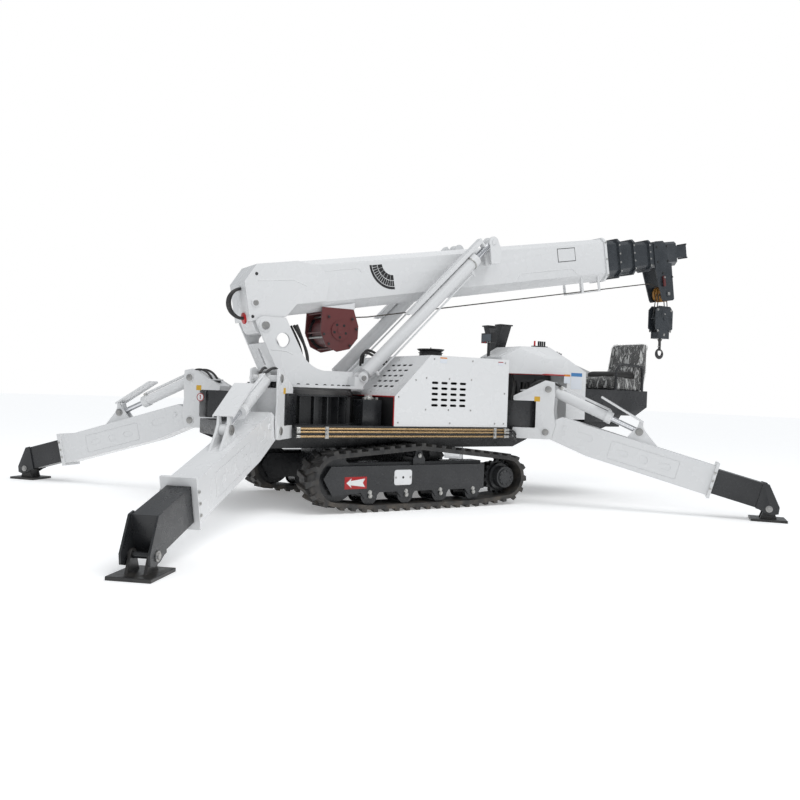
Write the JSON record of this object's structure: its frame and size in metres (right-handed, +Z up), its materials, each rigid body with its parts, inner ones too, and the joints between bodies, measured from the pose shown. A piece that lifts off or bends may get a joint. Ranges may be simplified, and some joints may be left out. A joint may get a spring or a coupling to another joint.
{
  "type": "mini crawler crane with outriggers",
  "caption": "Compact telescopic boom crane on rubber tracks that folds four outrigger legs out to the ground and lifts with a winch rope and hook block.",
  "frame": {"origin": "middle of the machine's overall box, on the floor that the tracks and pads stand on", "axes": "+X along the stowed boom towards its tip and the driver's seat, +Y to the machine's far side, +Z up"},
  "size_m": [7.3844, 5.2392, 3.0305],
  "materials": {
    "white_paint": "gloss",
    "black_paint": "satin",
    "slate_paint": "gloss",
    "rubber": "matte",
    "chrome": "polished",
    "maroon_paint": "satin",
    "brass_pipe": "satin",
    "seat_vinyl": "matte",
    "ochre_paint": "satin",
    "steel": "machined",
    "cast_block": "rough",
    "black_plastic": "matte",
    "foot_steel": "satin"
  },
  "bodies": {
    "carrier": {"chassis_frame": "black_paint", "slew_ring": "steel", "track_left": "rubber", "track_right": "rubber", "track_frame_left": "black_paint", "track_frame_right": "black_paint", "engine_hood": "white_paint", "engine_block": "cast_block", "intake_cap": "black_plastic", "boom_rest": "black_paint", "control_console": "white_paint", "controls": "black_plastic", "valve_bank": "black_paint", "side_cover": "white_paint", "seat_box": "black_paint", "seat": "seat_vinyl", "hydraulic_tank": "black_paint", "chassis_pipes": "brass_pipe"},
    "superstructure": {"tower": "white_paint"},
    "luff_barrels": {"luff_barrel_left": "white_paint", "luff_barrel_right": "white_paint"},
    "luff_rods": {"luff_rod_left": "chrome", "luff_rod_right": "chrome"},
    "boom": {"boom_base": "white_paint", "winch": "maroon_paint"},
    "section_2": {"boom_section_2": "slate_paint"},
    "section_3": {"boom_section_3": "slate_paint"},
    "section_4": {"boom_section_4": "slate_paint"},
    "section_5": {"boom_tip": "slate_paint", "head_sheaves": "ochre_paint"},
    "hook_block": {"hook_block": "slate_paint"},
    "hook": {"hook": "slate_paint"},
    "front_left_bracket": {"front_left_bracket": "white_paint"},
    "front_left_beam": {"front_left_beam": "white_paint"},
    "front_left_extension": {"front_left_extension": "black_paint"},
    "front_left_foot": {"front_left_foot": "foot_steel"},
    "front_left_cylinder": {"front_left_cylinder": "white_paint"},
    "front_left_rod": {"front_left_rod": "chrome"},
    "front_right_bracket": {"front_right_bracket": "white_paint"},
    "front_right_beam": {"front_right_beam": "white_paint"},
    "front_right_extension": {"front_right_extension": "black_paint"},
    "front_right_foot": {"front_right_foot": "foot_steel"},
    "front_right_cylinder": {"front_right_cylinder": "white_paint"},
    "front_right_rod": {"front_right_rod": "chrome"},
    "rear_left_bracket": {"rear_left_bracket": "white_paint"},
    "rear_left_beam": {"rear_left_beam": "white_paint"},
    "rear_left_extension": {"rear_left_extension": "black_paint"},
    "rear_left_foot": {"rear_left_foot": "foot_steel"},
    "rear_left_cylinder": {"rear_left_cylinder": "white_paint"},
    "rear_left_rod": {"rear_left_rod": "chrome"},
    "rear_right_bracket": {"rear_right_bracket": "white_paint"},
    "rear_right_beam": {"rear_right_beam": "white_paint"},
    "rear_right_extension": {"rear_right_extension": "black_paint"},
    "rear_right_foot": {"rear_right_foot": "foot_steel"},
    "rear_right_cylinder": {"rear_right_cylinder": "white_paint"},
    "rear_right_rod": {"rear_right_rod": "chrome"}
  },
  "joints": [
    {"name": "slew", "type": "hinge", "parent": "carrier", "child": "superstructure", "pos_m": [-1.52185, 0, 1.055], "axis": [0, 0, 1], "continuous": true},
    {"name": "luff", "type": "hinge", "parent": "superstructure", "child": "boom", "pos_m": [-1.96285, 0, 1.585], "axis": [0, -1, 0], "range_deg": [-7, 67]},
    {"name": "luff_barrel_turn", "type": "hinge", "parent": "superstructure", "child": "luff_barrels", "pos_m": [-1.04185, 0, 1.16], "axis": [0, -1, 0], "range_deg": [-6.73, 64.33]},
    {"name": "luff_rod_slide", "type": "slide", "parent": "luff_barrels", "child": "luff_rods", "axis": [0.7125, 0, 0.7017], "range_m": [-0.1187, 1.13187]},
    {"name": "telescope_2", "type": "slide", "parent": "boom", "child": "section_2", "axis": [0.9839, 0, 0.1788], "range_m": [0, 3]},
    {"name": "telescope_3", "type": "slide", "parent": "section_2", "child": "section_3", "axis": [0.9839, 0, 0.1788], "range_m": [0, 3]},
    {"name": "telescope_4", "type": "slide", "parent": "section_3", "child": "section_4", "axis": [0.9839, 0, 0.1788], "range_m": [0, 3]},
    {"name": "telescope_5", "type": "slide", "parent": "section_4", "child": "section_5", "axis": [0.9839, 0, 0.1788], "range_m": [0, 3]},
    {"name": "block_swing", "type": "hinge", "parent": "section_5", "child": "hook_block", "pos_m": [3.318, 0, 2.36378], "axis": [0, 1, 0], "range_deg": [-10, 70]},
    {"name": "hook_turn", "type": "hinge", "parent": "hook_block", "child": "hook", "pos_m": [3.318, 0, 1.812], "axis": [0, 0, 1], "continuous": true},
    {"name": "front_left_swing", "type": "hinge", "parent": "carrier", "child": "front_left_bracket", "pos_m": [-2.06185, -0.742, 0.741], "axis": [0, 0, 1], "range_deg": [-35, 25]},
    {"name": "front_left_lift", "type": "hinge", "parent": "front_left_bracket", "child": "front_left_beam", "pos_m": [-2.20083, -0.90473, 0.703], "axis": [-0.7604, 0.6494, 0], "range_deg": [-6, 24]},
    {"name": "front_left_cylinder_turn", "type": "hinge", "parent": "front_left_bracket", "child": "front_left_cylinder", "pos_m": [-2.21057, -0.91613, 1.116], "axis": [-0.7604, 0.6494, 0], "range_deg": [-5.47, 21.85]},
    {"name": "front_left_rod_slide", "type": "slide", "parent": "front_left_cylinder", "child": "front_left_rod", "axis": [-0.5948, -0.6964, -0.4016], "range_m": [-0.16876, 0.04257]},
    {"name": "front_left_extend", "type": "slide", "parent": "front_left_beam", "child": "front_left_extension", "axis": [-0.6279, -0.7352, -0.2554], "range_m": [-0.28, 0.45]},
    {"name": "front_left_foot", "type": "hinge", "parent": "front_left_extension", "child": "front_left_foot", "pos_m": [-3.49592, -2.42108, 0.112], "axis": [-0.7604, 0.6494, 0], "range_deg": [-30, 30]},
    {"name": "front_right_swing", "type": "hinge", "parent": "carrier", "child": "front_right_bracket", "pos_m": [-2.06185, 0.742, 0.741], "axis": [0, 0, -1], "range_deg": [-35, 25]},
    {"name": "front_right_lift", "type": "hinge", "parent": "front_right_bracket", "child": "front_right_beam", "pos_m": [-2.20083, 0.90473, 0.703], "axis": [0.7604, 0.6494, 0], "range_deg": [-6, 24]},
    {"name": "front_right_cylinder_turn", "type": "hinge", "parent": "front_right_bracket", "child": "front_right_cylinder", "pos_m": [-2.21057, 0.91613, 1.116], "axis": [0.7604, 0.6494, 0], "range_deg": [-5.47, 21.85]},
    {"name": "front_right_rod_slide", "type": "slide", "parent": "front_right_cylinder", "child": "front_right_rod", "axis": [-0.5948, 0.6964, -0.4016], "range_m": [-0.16876, 0.04257]},
    {"name": "front_right_extend", "type": "slide", "parent": "front_right_beam", "child": "front_right_extension", "axis": [-0.6279, 0.7352, -0.2554], "range_m": [-0.28, 0.45]},
    {"name": "front_right_foot", "type": "hinge", "parent": "front_right_extension", "child": "front_right_foot", "pos_m": [-3.49592, 2.42108, 0.112], "axis": [0.7604, 0.6494, 0], "range_deg": [-30, 30]},
    {"name": "rear_left_swing", "type": "hinge", "parent": "carrier", "child": "rear_left_bracket", "pos_m": [0.57815, -0.742, 0.741], "axis": [0, 0, -1], "range_deg": [-35, 25]},
    {"name": "rear_left_lift", "type": "hinge", "parent": "rear_left_bracket", "child": "rear_left_beam", "pos_m": [0.71713, -0.90473, 0.703], "axis": [-0.7604, -0.6494, 0], "range_deg": [-6, 24]},
    {"name": "rear_left_cylinder_turn", "type": "hinge", "parent": "rear_left_bracket", "child": "rear_left_cylinder", "pos_m": [0.72688, -0.91613, 1.116], "axis": [-0.7604, -0.6494, 0], "range_deg": [-5.47, 21.85]},
    {"name": "rear_left_rod_slide", "type": "slide", "parent": "rear_left_cylinder", "child": "rear_left_rod", "axis": [0.5948, -0.6964, -0.4016], "range_m": [-0.16876, 0.04257]},
    {"name": "rear_left_extend", "type": "slide", "parent": "rear_left_beam", "child": "rear_left_extension", "axis": [0.6279, -0.7352, -0.2554], "range_m": [-0.28, 0.45]},
    {"name": "rear_left_foot", "type": "hinge", "parent": "rear_left_extension", "child": "rear_left_foot", "pos_m": [2.01222, -2.42108, 0.112], "axis": [-0.7604, -0.6494, 0], "range_deg": [-30, 30]},
    {"name": "rear_right_swing", "type": "hinge", "parent": "carrier", "child": "rear_right_bracket", "pos_m": [0.57815, 0.742, 0.741], "axis": [0, 0, 1], "range_deg": [-35, 25]},
    {"name": "rear_right_lift", "type": "hinge", "parent": "rear_right_bracket", "child": "rear_right_beam", "pos_m": [0.71713, 0.90473, 0.703], "axis": [0.7604, -0.6494, 0], "range_deg": [-6, 24]},
    {"name": "rear_right_cylinder_turn", "type": "hinge", "parent": "rear_right_bracket", "child": "rear_right_cylinder", "pos_m": [0.72688, 0.91613, 1.116], "axis": [0.7604, -0.6494, 0], "range_deg": [-5.47, 21.85]},
    {"name": "rear_right_rod_slide", "type": "slide", "parent": "rear_right_cylinder", "child": "rear_right_rod", "axis": [0.5948, 0.6964, -0.4016], "range_m": [-0.16876, 0.04257]},
    {"name": "rear_right_extend", "type": "slide", "parent": "rear_right_beam", "child": "rear_right_extension", "axis": [0.6279, 0.7352, -0.2554], "range_m": [-0.28, 0.45]},
    {"name": "rear_right_foot", "type": "hinge", "parent": "rear_right_extension", "child": "rear_right_foot", "pos_m": [2.01222, 2.42108, 0.112], "axis": [0.7604, -0.6494, 0], "range_deg": [-30, 30]}
  ],
  "couplings": [
    {"joint": "luff_barrel_turn", "follows": "luff", "ratio": 0.96},
    {"joint": "luff_rod_slide", "follows": "luff", "m_per_rad": 0.9675},
    {"joint": "telescope_3", "follows": "telescope_2", "ratio": 1},
    {"joint": "telescope_4", "follows": "telescope_2", "ratio": 1},
    {"joint": "telescope_5", "follows": "telescope_2", "ratio": 1},
    {"joint": "front_left_cylinder_turn", "follows": "front_left_lift", "ratio": 0.91},
    {"joint": "front_left_rod_slide", "follows": "front_left_lift", "m_per_rad": -0.4017},
    {"joint": "front_right_cylinder_turn", "follows": "front_right_lift", "ratio": 0.91},
    {"joint": "front_right_rod_slide", "follows": "front_right_lift", "m_per_rad": -0.4017},
    {"joint": "rear_left_cylinder_turn", "follows": "rear_left_lift", "ratio": 0.91},
    {"joint": "rear_left_rod_slide", "follows": "rear_left_lift", "m_per_rad": -0.4017},
    {"joint": "rear_right_cylinder_turn", "follows": "rear_right_lift", "ratio": 0.91},
    {"joint": "rear_right_rod_slide", "follows": "rear_right_lift", "m_per_rad": -0.4017}
  ]
}
